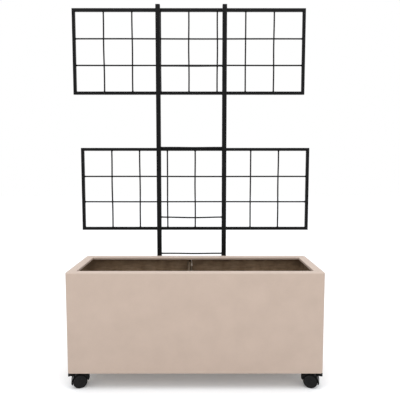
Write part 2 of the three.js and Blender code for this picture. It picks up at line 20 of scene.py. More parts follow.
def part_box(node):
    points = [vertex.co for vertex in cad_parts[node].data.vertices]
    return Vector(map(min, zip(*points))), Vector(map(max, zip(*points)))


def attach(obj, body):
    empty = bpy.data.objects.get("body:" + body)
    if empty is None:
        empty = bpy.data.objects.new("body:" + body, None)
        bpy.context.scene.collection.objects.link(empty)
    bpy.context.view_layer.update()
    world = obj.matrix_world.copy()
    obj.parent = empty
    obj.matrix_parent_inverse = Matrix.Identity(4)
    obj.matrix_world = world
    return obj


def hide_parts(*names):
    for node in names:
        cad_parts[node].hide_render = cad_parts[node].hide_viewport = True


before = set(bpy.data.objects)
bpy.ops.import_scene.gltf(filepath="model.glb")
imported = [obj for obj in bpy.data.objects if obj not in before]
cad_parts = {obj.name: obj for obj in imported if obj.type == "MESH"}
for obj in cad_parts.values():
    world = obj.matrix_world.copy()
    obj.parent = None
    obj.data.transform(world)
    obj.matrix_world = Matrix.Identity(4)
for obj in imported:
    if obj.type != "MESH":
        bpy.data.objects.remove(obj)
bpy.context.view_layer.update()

# %% [markdown]
# ## Working in edit mode from code
# A modeller works in two steps again and again: pick some faces or edges, then run a tool on
# them. These helpers are those steps. An operator acts on everything that is selected, so a
# piece is first made the only selected one, and edit mode opens with nothing picked.

# %% Selecting and editing
MM = 0.001
FACING = 0.9  # a normal with this much of an axis in it faces along that axis


def only(part):
    """Makes one object the selected and active one."""
    bpy.ops.object.select_all(action="DESELECT")
    part.select_set(True)
    bpy.context.view_layer.objects.active = part


@contextmanager
def editing(part):
    """Edit mode on one piece, with nothing picked at first."""
    only(part)
    bpy.ops.object.mode_set(mode="EDIT")
    bpy.ops.mesh.select_all(action="DESELECT")
    yield
    bpy.ops.object.mode_set(mode="OBJECT")


def pick_all():
    """Picks the whole piece."""
    bpy.ops.mesh.select_all(action="SELECT")


def pick_faces(part, test):
    """Picks the faces whose centre and normal pass a test."""
    bpy.ops.mesh.select_all(action="DESELECT")
    bpy.ops.mesh.select_mode(type="FACE")
    mesh = bmesh.from_edit_mesh(part.data)
    mesh.normal_update()
    for face in mesh.faces:
        face.select_set(bool(test(face.calc_center_median(), face.normal)))
    bmesh.update_edit_mesh(part.data)


def pick_edges(part, test):
    """Picks the edges whose two ends pass a test."""
    bpy.ops.mesh.select_all(action="DESELECT")
    bpy.ops.mesh.select_mode(type="EDGE")
    mesh = bmesh.from_edit_mesh(part.data)
    for edge in mesh.edges:
        edge.select_set(bool(test(edge.verts[0].co, edge.verts[1].co)))
    bmesh.update_edit_mesh(part.data)


def extrude(x, y, z):
    """Extrudes what is picked and moves the new faces."""
    bpy.ops.mesh.extrude_region_move(TRANSFORM_OT_translate={"value": (x, y, z)})


def round_off(radius, steps):
    """Rounds the picked edges."""
    bpy.ops.mesh.bevel(offset=radius, segments=steps, affect="EDGES")


def shake(amount, seed):
    """Moves every vertex a little at random."""
    pick_all()
    bpy.ops.transform.vertex_random(offset=amount, seed=seed)


def near(a, b):
    """True for two places within a tenth of a millimetre."""
    return abs(a - b) < 0.1 * MM


print("edit helpers ready")

# %% [markdown]
# ## Starting shapes
# Every piece starts as a primitive at its size and place. Applying the place at once keeps the
# finished object at the origin, with its place in its mesh, so that patterns on Object
# coordinates stay put on it.

# %% Primitives, modifiers and copies
TURN_TO = {"y": (-math.pi / 2, 0, 0), "z": (0, 0, 0)}


def settle(part, name):
    """Names a new primitive and puts its place, turn and size into its mesh."""
    only(part)
    bpy.ops.object.transform_apply(location=True, rotation=True, scale=True)
    part.name = part.data.name = name
    return part


def start_block(name, low, high):
    """A box between two corners."""
    low, high = Vector(low), Vector(high)
    bpy.ops.mesh.primitive_cube_add(size=1, location=(low + high) / 2)
    part = bpy.context.object
    part.scale = high - low
    return settle(part, name)


def start_rod(name, axis, diameter, low, high, across, sides=32):
    """A round rod along Y or Z, between two places on it; across is its other two places."""
    middle = list(across)
    middle.insert("xyz".index(axis), (low + high) / 2)
    bpy.ops.mesh.primitive_cylinder_add(
        vertices=sides, radius=diameter / 2, depth=high - low, location=middle, rotation=TURN_TO[axis])
    return settle(bpy.context.object, name)


def use_modifier(part, kind, **settings):
    """Adds a modifier with these settings and applies it."""
    only(part)
    made = part.modifiers.new(kind.title(), kind)
    for setting, value in settings.items():
        setattr(made, setting, value)
    bpy.ops.object.modifier_apply(modifier=made.name)


def combine(part, operation, tools):
    """Runs a boolean with each tool and throws the tools away."""
    for tool in tools:
        use_modifier(part, "BOOLEAN", operation=operation, solver="EXACT", object=tool)
        bpy.data.objects.remove(tool)
    return part


def cut_away(part, *tools):
    """Subtracts the tools from the part."""
    return combine(part, "DIFFERENCE", tools)


def weld_on(part, *others):
    """Fuses other solids into the part."""
    return combine(part, "UNION", others)


def smooth(part, angle=30):
    """Shades a piece smooth where its faces meet at less than this angle."""
    only(part)
    bpy.ops.object.shade_smooth_by_angle(angle=math.radians(angle))
    return part


def soften(part, width, segments=2):
    """Rounds every edge of more than 35 degrees, and shades the piece smooth."""
    use_modifier(part, "BEVEL", width=width, segments=segments, limit_method="ANGLE",
                 angle_limit=math.radians(35))
    return smooth(part)


def at(x, y, z):
    """A matrix that moves a form to a place."""
    return Matrix.Translation((x, y, z))


def copy_of(part, name, placed):
    """A copy with its own mesh, placed by a matrix that goes into the mesh."""
    twin = bpy.data.objects.new(name, part.data.copy())
    twin.data.name = name
    bpy.context.collection.objects.link(twin)
    twin.data.transform(placed)
    return twin


def joined(name, parts):
    """Several meshes as one object."""
    only(parts[0])
    for part in parts:
        part.select_set(True)
    bpy.ops.object.join()
    parts[0].name = parts[0].data.name = name
    return parts[0]


def spun(name, profile, steps=64):
    """A solid of revolution about Z from [radius, height] points in millimetres, axis to axis."""
    mesh = bpy.data.meshes.new(name)
    mesh.from_pydata([(r * MM, 0, z * MM) for r, z in profile],
                     [(i, i + 1) for i in range(len(profile) - 1)], [])
    part = bpy.data.objects.new(name, mesh)
    bpy.context.collection.objects.link(part)
    with editing(part):
        pick_all()
        bpy.ops.mesh.spin(steps=steps, angle=2 * math.pi, center=(0, 0, 0), axis=(0, 0, 1))
        pick_all()
        bpy.ops.mesh.remove_doubles(threshold=0.001 * MM)
        bpy.ops.mesh.normals_make_consistent(inside=False)
    return smooth(part)


print("modelling helpers ready")

# %% [markdown]
# ## Finishes
# Each finish is a node tree on the object's own coordinates, so a pattern has a real size: a
# noise of scale 25 has features about 40 mm wide. A value that is even all over the piece sits
# on the shader's own socket.

# %% Node helpers


class Finish:
    """One material, with short ways to add noise, colour bands and bumps to its shader."""

    def __init__(self, name, roughness, specular=0.5, metallic=0.0, slot=None):
        self.slot = slot or name
        self.material = bpy.data.materials.new(name)
        self.material.use_nodes = True
        self.tree = self.material.node_tree
        self.shader = self.tree.nodes["Principled BSDF"]
        self.shader.inputs["Roughness"].default_value = roughness
        self.shader.inputs["Specular IOR Level"].default_value = specular
        self.shader.inputs["Metallic"].default_value = metallic
        self.place = self.tree.nodes.new("ShaderNodeTexCoord").outputs["Object"]

    def node(self, kind, choices=(), **inputs):
        """A new node, with its choices made and each input linked to a socket or given a value."""
        made = self.tree.nodes.new(f"ShaderNode{kind}")
        for choice, value in choices:
            setattr(made, choice, value)
        for title, value in inputs.items():
            socket = made.inputs[title.replace("_", " ")]
            if isinstance(value, bpy.types.NodeSocket):
                self.tree.links.new(value, socket)
            else:
                socket.default_value = value
        return made

    def drive(self, socket, value):
        """Feeds a pattern into one of the shader's sockets."""
        self.tree.links.new(value, self.shader.inputs[socket])

    def stretched(self, scale, turn):
        """The object's coordinates, stretched and turned for a pattern with a grain."""
        return self.node("Mapping", Vector=self.place, Scale=scale, Rotation=turn).outputs["Vector"]

    def noise(self, scale, detail, roughness=0.5, place=None):
        """A noise pattern from 0 to 1."""
        return self.node("TexNoise", Vector=place or self.place, Scale=scale, Detail=detail,
                         Roughness=roughness).outputs["Fac"]

    def bands(self, fac, *stops):
        """A colour ramp: each stop is a place from 0 to 1 and a colour."""
        ramp = self.node("ValToRGB", Fac=fac)
        while len(ramp.color_ramp.elements) < len(stops):
            ramp.color_ramp.elements.new(0.5)
        for element, (position, color) in zip(ramp.color_ramp.elements, stops):
            element.position = position
            element.color = (*color, 1)
        return ramp.outputs["Color"]

    def mixed(self, first, second, amount, blend="MIX"):
        """A second colour laid over the first, as thickly as the amount says."""
        choices = (("data_type", "RGBA"), ("blend_type", blend))
        return self.node("Mix", choices, Factor=amount, A=first, B=second).outputs["Result"]

    def height(self):
        """How high a point is on the object, in metres."""
        return self.node("SeparateXYZ", Vector=self.place).outputs["Z"]

    def ranged(self, fac, low, high, start=0.0, end=1.0):
        """A value from start to end spread between two levels."""
        return self.node("MapRange", Value=fac, From_Min=start, From_Max=end,
                         To_Min=low, To_Max=high).outputs["Result"]

    def tint(self, scale, detail, *stops, roughness=0.5):
        """A colour that drifts between stops with a noise."""
        self.drive("Base Color", self.bands(self.noise(scale, detail, roughness), *stops))

    def sheen(self, scale, detail, low, high):
        """A roughness that drifts between two levels with a noise."""
        self.drive("Roughness", self.ranged(self.noise(scale, detail), low, high))

    def bumps(self, *layers):
        """Noise bumps in layers: scale, detail, strength and real height in millimetres."""
        below = {}
        for scale, detail, strength, size in layers:
            height = self.noise(scale, detail)
            bump = self.node("Bump", Strength=strength, Distance=size * MM, Height=height, **below)
            below = {"Normal": bump.outputs["Normal"]}
        self.drive("Normal", below["Normal"])


print("finish helpers ready")

# %% [markdown]
# ### Painted stone composite
# The outside is brushed with a matte masonry paint. It looks even from afar, but cloudy patches
# a few centimetres wide and fine sand in the paint keep it from looking like plastic. The top of
# the rim is painted paler by height: a painted highlight for the white sky's reflection and the
# light from above.

# %% Painted stone
# Painted highlight: from this height up, the colour turns paler over the rim's top.
RIM_HIGHLIGHT_FROM, RIM_HIGHLIGHT_TO, RIM_HIGHLIGHT_COVER = 0.4165, 0.4195, 0.13
stone = Finish("painted_stone", 0.62)
clouds = stone.bands(
    stone.noise(17, 5, roughness=0.55),
    (0.30, (0.492, 0.386, 0.318)), (0.50, (0.510, 0.401, 0.331)), (0.72, (0.528, 0.416, 0.344)))
sand = stone.bands(stone.noise(620, 2), (0.36, (0.93, 0.93, 0.93)), (0.55, (1.0, 1.0, 1.0)))
# The painted highlight is laid over the colour by height.
rim_highlight_cover = stone.ranged(stone.height(), 0.0, RIM_HIGHLIGHT_COVER, RIM_HIGHLIGHT_FROM, RIM_HIGHLIGHT_TO)
painted_rim_highlight = stone.mixed(clouds, (0.72, 0.68, 0.66, 1), rim_highlight_cover)
stone.drive("Base Color", stone.mixed(painted_rim_highlight, sand, 0.7, blend="MULTIPLY"))
stone.sheen(60, 3, 0.56, 0.70)
stone.bumps((9, 2, 0.25, 1.2), (520, 3, 0.30, 0.25))
print("painted stone:", len(stone.tree.nodes), "nodes")

# %% [markdown]
# ### Raw composite
# Inside, the laid-up resin and stone powder was left as it came out of the mould: brown grey,
# blotched and rough, with glass fibres that show as short strokes.

# %% Raw composite
raw = Finish("raw_composite", 0.9, specular=0.2)
blotches = raw.bands(
    raw.noise(26, 6, roughness=0.6),
    (0.28, (0.190, 0.124, 0.074)), (0.52, (0.275, 0.188, 0.116)), (0.78, (0.350, 0.250, 0.165)))
strokes = raw.bands(
    raw.noise(150, 4, place=raw.stretched((0.18, 1, 0.9), (0, 0.35, 0))),
    (0.35, (0.72, 0.72, 0.72)), (0.60, (1.0, 1.0, 1.0)))
raw.drive("Base Color", raw.mixed(blotches, strokes, 0.85, blend="MULTIPLY"))
raw.bumps((40, 4, 0.5, 1.5), (380, 3, 0.6, 0.4))
print("raw composite:", len(raw.tree.nodes), "nodes")

# %% [markdown]
# ### Powder-coated steel
# Powder coat flows as it bakes, and sets with a fine orange peel. It is black with a satin
# sheen, and a little dust lightens it unevenly.

# %% Black steel
steel = Finish("black_steel", 0.42, specular=0.12)
steel.tint(45, 5, (0.35, (0.0030, 0.0030, 0.0032)), (0.75, (0.0060, 0.0060, 0.0063)))
steel.sheen(120, 4, 0.34, 0.52)
steel.bumps((420, 2, 0.25, 0.08))
print("black steel:", len(steel.tree.nodes), "nodes")

# %% [markdown]
# ### Moulded plastics and rubber
# The caster's hood and pedal are moulded with a fine spark-eroded grain. The wheels are of a
# slightly greyer plastic, scuffed where they roll. The plugs are plain soft rubber.

# %% Black plastics
plastic = Finish("black_plastic", 0.40, specular=0.12)
plastic.tint(80, 3, (0.35, (0.0025, 0.0025, 0.0027)), (0.75, (0.0045, 0.0045, 0.0048)))
plastic.sheen(260, 3, 0.34, 0.48)
plastic.bumps((1500, 2, 0.20, 0.05))

wheel_grey = Finish("wheel_plastic", 0.5, specular=0.15)
wheel_grey.tint(150, 5, (0.35, (0.0055, 0.0055, 0.0057)), (0.72, (0.0092, 0.0092, 0.0095)))
wheel_grey.sheen(300, 4, 0.42, 0.62)
wheel_grey.bumps((1100, 2, 0.22, 0.06))

tread = Finish("wheel_tread", 0.6, specular=0.12)
tread.tint(420, 5, (0.40, (0.0030, 0.0030, 0.0031)), (0.80, (0.0120, 0.0118, 0.0115)), roughness=0.7)
tread.bumps((800, 4, 0.35, 0.12))

rubber = Finish("rubber", 0.78, specular=0.2)
rubber.tint(200, 4, (0.35, (0.010, 0.010, 0.010)), (0.75, (0.020, 0.0195, 0.019)))
rubber.bumps((900, 2, 0.25, 0.08))
print("plastics and rubber ready")

# %% [markdown]
# ### Zinc plate
# Bolts, nuts and stems are steel with a thin bright zinc skin. It is a metal, so its colour goes
# into its reflection, and faint cloudy stains give it a slightly uneven gloss.

# %% Zinc-plated steel
zinc = Finish("zinc_steel", 0.32, metallic=1.0)
zinc.tint(220, 4, (0.30, (0.500, 0.505, 0.510)), (0.70, (0.640, 0.640, 0.630)))
zinc.sheen(500, 3, 0.26, 0.42)
zinc.bumps((1400, 2, 0.15, 0.04))
print("zinc ready")

# %% [markdown]
# ### Fixing a piece to its body
# Each piece hides the imported nodes that it stands for and is fixed to the body it moves with.
# Most pieces are fixed to the planter itself.

# %% Finishing a piece


def recorded(part, slot, body, *nodes):
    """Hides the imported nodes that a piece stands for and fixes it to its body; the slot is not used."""
    for node in nodes:
        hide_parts(node)
    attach(part, body)


def finished(part, finish, *nodes, body="planter"):
    """Gives a piece one finish all over, hides the nodes it stands for and fixes it to its body."""
    part.data.materials.clear()
    part.data.materials.append(finish.material)
    recorded(part, finish.slot, body, *nodes)


print("ready to model")

# %% [markdown]
# ## The trough
# The real trough is laid up in a mould, so it is one shell with a turned-in rim. It could be
# cut from blocks with booleans, but a box that is inset and extruded down into itself keeps
# clean faces round the mouth, which then round off evenly with a bevel.

# %% Sizes of the trough
shell_low, shell_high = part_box("planter_shell")
centre = (shell_low + shell_high) / 2
half = (shell_high - shell_low) / 2
WALL, FLOOR = 9 * MM, 12 * MM
RIM, RIM_DEPTH = 32 * MM, 10 * MM
mouth_half = Vector((half.x - RIM, half.y - RIM))
hollow_half = Vector((half.x - WALL, half.y - WALL))
rim_underside = shell_high.z - RIM_DEPTH
floor_top = shell_low.z + FLOOR


def within(point, half_size):
    """True inside an upright box about the trough's middle, or just beside it."""
    spare = 0.5 * MM
    return all(abs(point[k] - centre[k]) < half_size[k] + spare for k in (0, 1))


def at_corner(a, b, half_size):
    """True for an upright edge at a corner of that box."""
    on_it = all(near(abs(p[k] - centre[k]), half_size[k]) for p in (a, b) for k in (0, 1))
    return on_it and not near(a.z, b.z)


def level(height, inside, half_size):
    """A test for edges at one height, inside that box or outside it."""
    return lambda a, b: all(near(p.z, height) and within(p, half_size) == inside for p in (a, b))


print("trough", tuple(round(2 * s, 3) for s in half), "metres")

# %% Box, rim and hollow
trough = start_block("trough", shell_low, shell_high)
with editing(trough):
    pick_faces(trough, lambda middle, normal: normal.z > FACING)
    bpy.ops.mesh.inset(thickness=RIM, use_even_offset=True)
    extrude(0, 0, -RIM_DEPTH)
    extrude(0, 0, 0)
    widen = (hollow_half.x / mouth_half.x, hollow_half.y / mouth_half.y, 1)
    bpy.ops.transform.resize(value=widen, center_override=(centre.x, centre.y, rim_underside))
    extrude(0, 0, floor_top - rim_underside)
print(len(trough.data.polygons), "faces before rounding")

# %% [markdown]
# The mould's corners are round, so the upright edges come first, each with its own radius but
# with as many steps. The flat rings between them are then taken out and bridged again, which
# leaves one clean strip of four-sided faces, and the edges along it round off evenly.

# %% Round the corners and edges
OUTER_ROUND, MOUTH_ROUND, HOLLOW_ROUND = 10 * MM, 3.5 * MM, 14 * MM
RIM_EDGE, LIP_EDGE, FOOT_EDGE, FLOOR_EDGE = 2.6 * MM, 2.0 * MM, 3.0 * MM, 9 * MM
CORNER_STEPS = 8
corners = ((half, OUTER_ROUND), (mouth_half, MOUTH_ROUND), (hollow_half, HOLLOW_ROUND))
loops = (
    (level(shell_high.z, False, mouth_half), RIM_EDGE, 3),
    (level(shell_high.z, True, mouth_half), LIP_EDGE, 3),
    (level(rim_underside, True, mouth_half), LIP_EDGE, 2),
    (level(shell_low.z, False, mouth_half), FOOT_EDGE, 3),
    (level(floor_top, True, hollow_half), FLOOR_EDGE, 3),
)
with editing(trough):
    for half_size, radius in corners:
        pick_edges(trough, lambda a, b: at_corner(a, b, half_size))
        round_off(radius, CORNER_STEPS)
    for height in (shell_high.z, rim_underside):
        pick_faces(trough, lambda middle, normal: near(middle.z, height) and abs(normal.z) > FACING)
        bpy.ops.mesh.delete(type="FACE")
        bpy.ops.mesh.select_mode(type="EDGE")
        bpy.ops.mesh.select_non_manifold()
        bpy.ops.mesh.bridge_edge_loops()
    for test, radius, steps in loops:
        pick_edges(trough, test)
        round_off(radius, steps)
print(len(trough.data.polygons), "faces after rounding")

# %% [markdown]
# The floor is thicker in the corners, where the casters' stems pass. Those pads are boxes with
# soft edges, fused to the floor and both walls. The holes for stems, drain plugs and bolts are
# drilled last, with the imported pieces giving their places.

# %% Corner pads and holes
PAD, PAD_HEIGHT, PAD_EDGE = 24 * MM, 18 * MM, 3 * MM
STEM_HOLE, DRAIN_HOLE, BOLT_HOLE = 10.6 * MM, 22 * MM, 6.6 * MM
CASTERS = ("front_left", "front_right", "rear_left", "rear_right")
SIDES = ("left", "right")
LEVELS = ("lower", "upper")


def middle_of(node):
    """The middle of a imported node's box."""
    low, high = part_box(node)
    return (low + high) / 2


def bolt_drill(level_name, side, low, high):
    """A drill along Y on the axis of one wall bolt."""
    bolt = middle_of(f"wall_bolt_{level_name}_{side}")
    return start_rod("drill", "y", BOLT_HOLE, low, high, (bolt.x, bolt.z))


pads = []
drills = []
for name in CASTERS:
    stem = middle_of(f"caster_{name}_stem")
    spans = []
    for k in (0, 1):
        out = math.copysign(1, stem[k] - centre[k])
        spans.append((stem[k] - out * PAD, centre[k] + out * (half[k] - WALL / 2)))
    low = (*map(min, spans), floor_top - FLOOR / 2)
    high = (*map(max, spans), floor_top + PAD_HEIGHT)
    pads.append(soften(start_block("pad", low, high), PAD_EDGE, segments=3))
    top = floor_top + 2 * PAD_HEIGHT
    drills.append(start_rod("drill", "z", STEM_HOLE, shell_low.z - FLOOR, top, stem.xy))
weld_on(trough, *pads)
for side in SIDES:
    plug = middle_of(f"drain_plug_{side}")
    top = floor_top + FLOOR
    drills.append(start_rod("drill", "z", DRAIN_HOLE, shell_low.z - FLOOR, top, plug.xy, sides=48))
    for level_name in LEVELS:
        drills.append(bolt_drill(level_name, side, shell_high.y - 2 * WALL, shell_high.y + WALL))
cut_away(trough, *drills)
smooth(trough)
print(len(trough.data.polygons), "faces in the trough")

# %% [markdown]
# Paint covers the outside, the rim and its lip. The inside and the underside stay raw, so those
# faces get the second finish by their place.

# %% Paint outside, raw inside
PAINT_END = rim_underside + 0.3 * MM
finished(trough, stone, "planter_shell")
trough.data.materials.append(raw.material)
for face in trough.data.polygons:
    inside = within(face.center, hollow_half) and face.center.z < PAINT_END
    under_the_foot = near(face.center.z, shell_low.z)
    face.material_index = 1 if inside or under_the_foot else 0
print(sum(face.material_index for face in trough.data.polygons), "raw faces")

# %% [markdown]
# ## The cross brace and its resin
# A plate across the middle keeps the long walls from bulging. It is cut by hand, so its edges
# are uneven. Its finish is painted far darker than the walls: painted shade, for the shade along
# the brace's top.

# %% Cross brace
CUT_ERROR = 0.7 * MM
brace_low, brace_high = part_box("centre_brace")
brace = start_block("cross_brace", brace_low, brace_high)
with editing(brace):
    pick_edges(brace, lambda a, b: not near(a.y, b.y))
    bpy.ops.mesh.subdivide(number_cuts=14)
    pick_faces(brace, lambda middle, normal: abs(normal.y) < 0.5)
    bpy.ops.transform.vertex_random(offset=CUT_ERROR, seed=4)
soften(brace, 1.2 * MM)
# Painted shade: the brace's dark brown finish stands in for the shade that lies on it.
brace_painted_shade = Finish("brace_painted_shade", 0.6, specular=0.08, slot="raw_composite")
brace_painted_shade.tint(60, 5, (0.30, (0.052, 0.033, 0.017)), (0.75, (0.095, 0.063, 0.036)))
brace_painted_shade.bumps((140, 4, 0.5, 0.6))
finished(brace, brace_painted_shade, "centre_brace")
print("brace", round((brace_high - brace_low).y, 3), "m across")

# %% [markdown]
# The brace is glassed in: thick beads of resin fill its corners, and one pale run of resin has
# dribbled down the back wall beside it. Both are lumpy, so their vertices are shaken and then
# smoothed by subdivision.

# %% Resin beads and the dribble
BEAD, DRIBBLE_DROP = 11 * MM, 33 * MM
resin = Finish("cured_resin", 0.45, slot="raw_composite")
resin.tint(70, 4, (0.30, (0.16, 0.125, 0.090)), (0.75, (0.26, 0.21, 0.16)))
resin.bumps((240, 3, 0.4, 0.4))
pale_resin = Finish("pale_resin", 0.5, slot="raw_composite")
pale_resin.tint(160, 4, (0.30, (0.74, 0.64, 0.54)), (0.75, (0.90, 0.81, 0.71)))
pale_resin.bumps((300, 3, 0.4, 0.3))

beads = []
for x in (brace_low.x, brace_high.x):
    for y in (brace_low.y, brace_high.y):
        bead = start_rod("bead", "z", BEAD, brace_low.z + BEAD / 2, brace_high.z - BEAD / 4, (x, y), sides=14)
        with editing(bead):
            pick_edges(bead, lambda a, b: not near(a.z, b.z))
            bpy.ops.mesh.subdivide(number_cuts=20)
            shake(0.9 * MM, seed=len(beads) + 11)
        beads.append(bead)
resin_beads = joined("resin_beads", beads)
dribble = spun("resin_dribble", [
    (0, 0), (3.0, 0.5), (5.2, 3), (5.6, 6), (4.2, 12), (2.6, 20), (2.4, 30), (0, 34)], steps=20)
with editing(dribble):
    shake(0.5 * MM, seed=3)
dribble.data.transform(
    at(brace_high.x + 2.5 * MM, brace_high.y - 0.5 * MM, rim_underside - DRIBBLE_DROP))
for lump, finish in ((resin_beads, resin), (dribble, pale_resin)):
    use_modifier(lump, "SUBSURF", levels=1, render_levels=1)
    finished(smooth(lump, 80), finish)
print(len(resin_beads.data.polygons), "faces of resin")

# %% [markdown]
# ## Drain plugs
# Two soft plugs close the drain holes. A plug is round, so its half outline is spun about its
# axis: a stem with a chamfered end, a flange that seals on the floor and a shallow dimple.

# %% Drain plugs
plug_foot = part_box("drain_plug_left")[0].z
plug_form = spun("plug_form", [
    (0, 0.6), (9.2, 0.6), (10.6, 2.2), (10.6, 12.1), (14.6, 12.1), (15.3, 12.6), (15.4, 13.4), (14.8, 14.6),
    (13.8, 15.0), (8.2, 15.0), (7.4, 14.6), (6.6, 13.9), (0, 13.7)])
for side in SIDES:
    place = middle_of(f"drain_plug_{side}")
    plug = copy_of(plug_form, f"rubber_plug_{side}", at(place.x, place.y, plug_foot))
    finished(plug, rubber, f"drain_plug_{side}")
bpy.data.objects.remove(plug_form)
print("plugs placed")

# %% [markdown]
# ## The trellis posts
# The posts are square steel tube, which has softly rounded corners from the mill. Bevelling the
# four long edges of a box gives that section, and bridging its two ends hollows it.

# %% Square tubes
POST_CORNER, POST_CORNER_STEPS, POST_WALL = 1.8 * MM, 4, 1.5 * MM


def round_long_edges(part, axis, corner=POST_CORNER, steps=POST_CORNER_STEPS):
    """Rounds the four long edges of a box, in edit mode."""
    along = "xyz".index(axis)
    pick_edges(part, lambda a, b: not near(a[along], b[along]))
    round_off(corner, steps)


for side in SIDES:
    low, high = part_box(f"trellis_post_{side}")
    post = start_block(f"post_{side}", low, high)
    with editing(post):
        round_long_edges(post, "z")
        pick_faces(post, lambda middle, normal: abs(normal.z) > FACING)
        bpy.ops.mesh.inset(thickness=POST_WALL, use_even_offset=True)
        bpy.ops.mesh.bridge_edge_loops()
    for level_name in LEVELS:
        cut_away(post, bolt_drill(level_name, side, low.y - WALL, high.y + WALL))
    finished(smooth(post), steel, f"trellis_post_{side}")
print("posts", round((high - low).z, 3), "m long")

# %% [markdown]
# A moulded plug closes each end of a post: a plate with a softly domed edge, and a stub that is
# pressed into the tube. One plug is modelled standing up and copied, turned over for the feet.

# %% Post plugs
PLATE, PLUG_EDGE, PLUG_SPARE = 2.0 * MM, 1.1 * MM, 0.3 * MM
OVER = Matrix.Rotation(math.pi, 4, "X")
plug_low, plug_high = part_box("post_cap_left")
plug_middle = (plug_low + plug_high) / 2
cap_form = start_block("cap_form", (plug_low.x, plug_low.y, plug_high.z - PLATE), plug_high)
with editing(cap_form):
    round_long_edges(cap_form, "z")
    pick_edges(cap_form, lambda a, b: near(a.z, b.z) and near(a.z, plug_high.z))
    round_off(PLUG_EDGE, 3)
    pick_faces(cap_form, lambda middle, normal: normal.z < -FACING)
    bpy.ops.mesh.inset(thickness=POST_WALL + PLUG_SPARE, use_even_offset=True)
    extrude(0, 0, plug_low.z - plug_high.z + PLATE)
cap_form.data.transform(at(-plug_middle.x, -plug_middle.y, -plug_high.z))
smooth(cap_form)
for side in SIDES:
    low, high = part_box(f"post_cap_{side}")
    foot_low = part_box(f"post_foot_{side}")[0]
    place = (low + high) / 2
    cap = copy_of(cap_form, f"cap_{side}", at(place.x, place.y, high.z))
    foot = copy_of(cap_form, f"foot_{side}", at(place.x, place.y, foot_low.z) @ OVER)
    finished(cap, plastic, f"post_cap_{side}")
    finished(foot, plastic, f"post_foot_{side}")
bpy.data.objects.remove(cap_form)
print("caps and feet placed")

# %% [markdown]
# ## Panel frames
# Each panel's frame is four lengths of small square tube, sawn at 45 degrees and welded. A box
# is bevelled along its length and then bisected by a slanted plane at each end.

# %% Mitred bars
PANELS = ("upper_panel", "lower_panel")
BAR_CORNER, BAR_CORNER_STEPS = 1.3 * MM, 3
BARS = (("stile_left", "z", (1, 0, 0)), ("stile_right", "z", (-1, 0, 0)),
        ("rail_top", "x", (0, 0, -1)), ("rail_bottom", "x", (0, 0, 1)))


def mitred_bar(name, node, axis, inward):
    """A square tube on a panel's edge, with both ends cut to meet its neighbours."""
    low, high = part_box(node)
    bar = start_block(name, low, high)
    along = "xyz".index(axis)
    with editing(bar):
        round_long_edges(bar, axis, BAR_CORNER, BAR_CORNER_STEPS)
        for end, outward in ((low, -1), (high, 1)):
            corner = Vector(end)
            for other in {0, 1, 2} - {along}:
                corner[other] = low[other] if inward[other] > 0 else high[other]
            normal = Vector(inward)
            normal[along] = outward
            pick_all()
            bpy.ops.mesh.bisect(plane_co=corner, plane_no=normal, use_fill=True, clear_outer=True)
    return smooth(bar)


for panel in PANELS:
    for word, axis, inward in BARS:
        bar = mitred_bar(f"{panel}_bar_{word}", f"{panel}_{word}", axis, inward)
        finished(bar, steel, f"{panel}_{word}")

# %% [markdown]
# ## Wires and rungs
# Thin wire is never quite straight once it has been welded. A disc is extruded in short steps
# that wander from side to side, so the wire keeps its thickness and waves by about half a
# millimetre. One wire of each kind is made, and its copies are turned about their own length so
# that no two look alike.

# %% Draw a wire
UPRIGHTS, CROSSWIRES = 7, 2
UPRIGHT_WANDER, CROSSWIRE_WANDER, RUNG_WANDER = 0.7 * MM, 0.4 * MM, 0.5 * MM
WELD_SINK, SEAT = 0.8 * MM, 0.6 * MM
QUARTER = math.pi / 2
LAY_ALONG_X = Matrix.Rotation(QUARTER, 4, "Y")


def drawn_wire(name, diameter, length, wander, sag=0.0, steps=18):
    """A round wire up the Z axis from the origin, drawn in steps that stray from the line."""
    def stray(t):
        ease = math.sin(math.pi * t)
        return (wander * ease * math.sin(7.1 * t + 0.6) - sag * ease, wander * ease * math.sin(5.3 * t + 2.1))

    bpy.ops.mesh.primitive_circle_add(
        vertices=14, radius=diameter / 2, fill_type="NGON", location=(0, 0, 0))
    wire = settle(bpy.context.object, name)
    with editing(wire):
        pick_all()
        for step in range(steps):
            here, there = stray(step / steps), stray((step + 1) / steps)
            extrude(there[0] - here[0], there[1] - here[1], length / steps)
        pick_all()
        bpy.ops.mesh.normals_make_consistent(inside=False)
    return smooth(wire, 50)


lattice_low, lattice_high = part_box("upper_panel_lattice")
lattice_size = lattice_high - lattice_low
WIRE = (lattice_size.y + WELD_SINK) / 2
upright_form = drawn_wire("upright_form", WIRE, lattice_size.z + 2 * SEAT, UPRIGHT_WANDER)
crosswire_form = drawn_wire("crosswire_form", WIRE, lattice_size.x + 2 * SEAT, CROSSWIRE_WANDER, steps=36)
print("wire", len(upright_form.data.polygons), "and", len(crosswire_form.data.polygons), "faces")

# %% [markdown]
# A small fillet of weld metal stands where each wire meets a bar, and a flattened nugget sits
# where two wires cross. The fillet is a spun flare, the nugget a roughened sphere of 1 mm
# radius that is stretched to its size, and both are copied to every joint of a panel. A wire's
# fillet is pinched, so that it stays within the thickness of its bar.

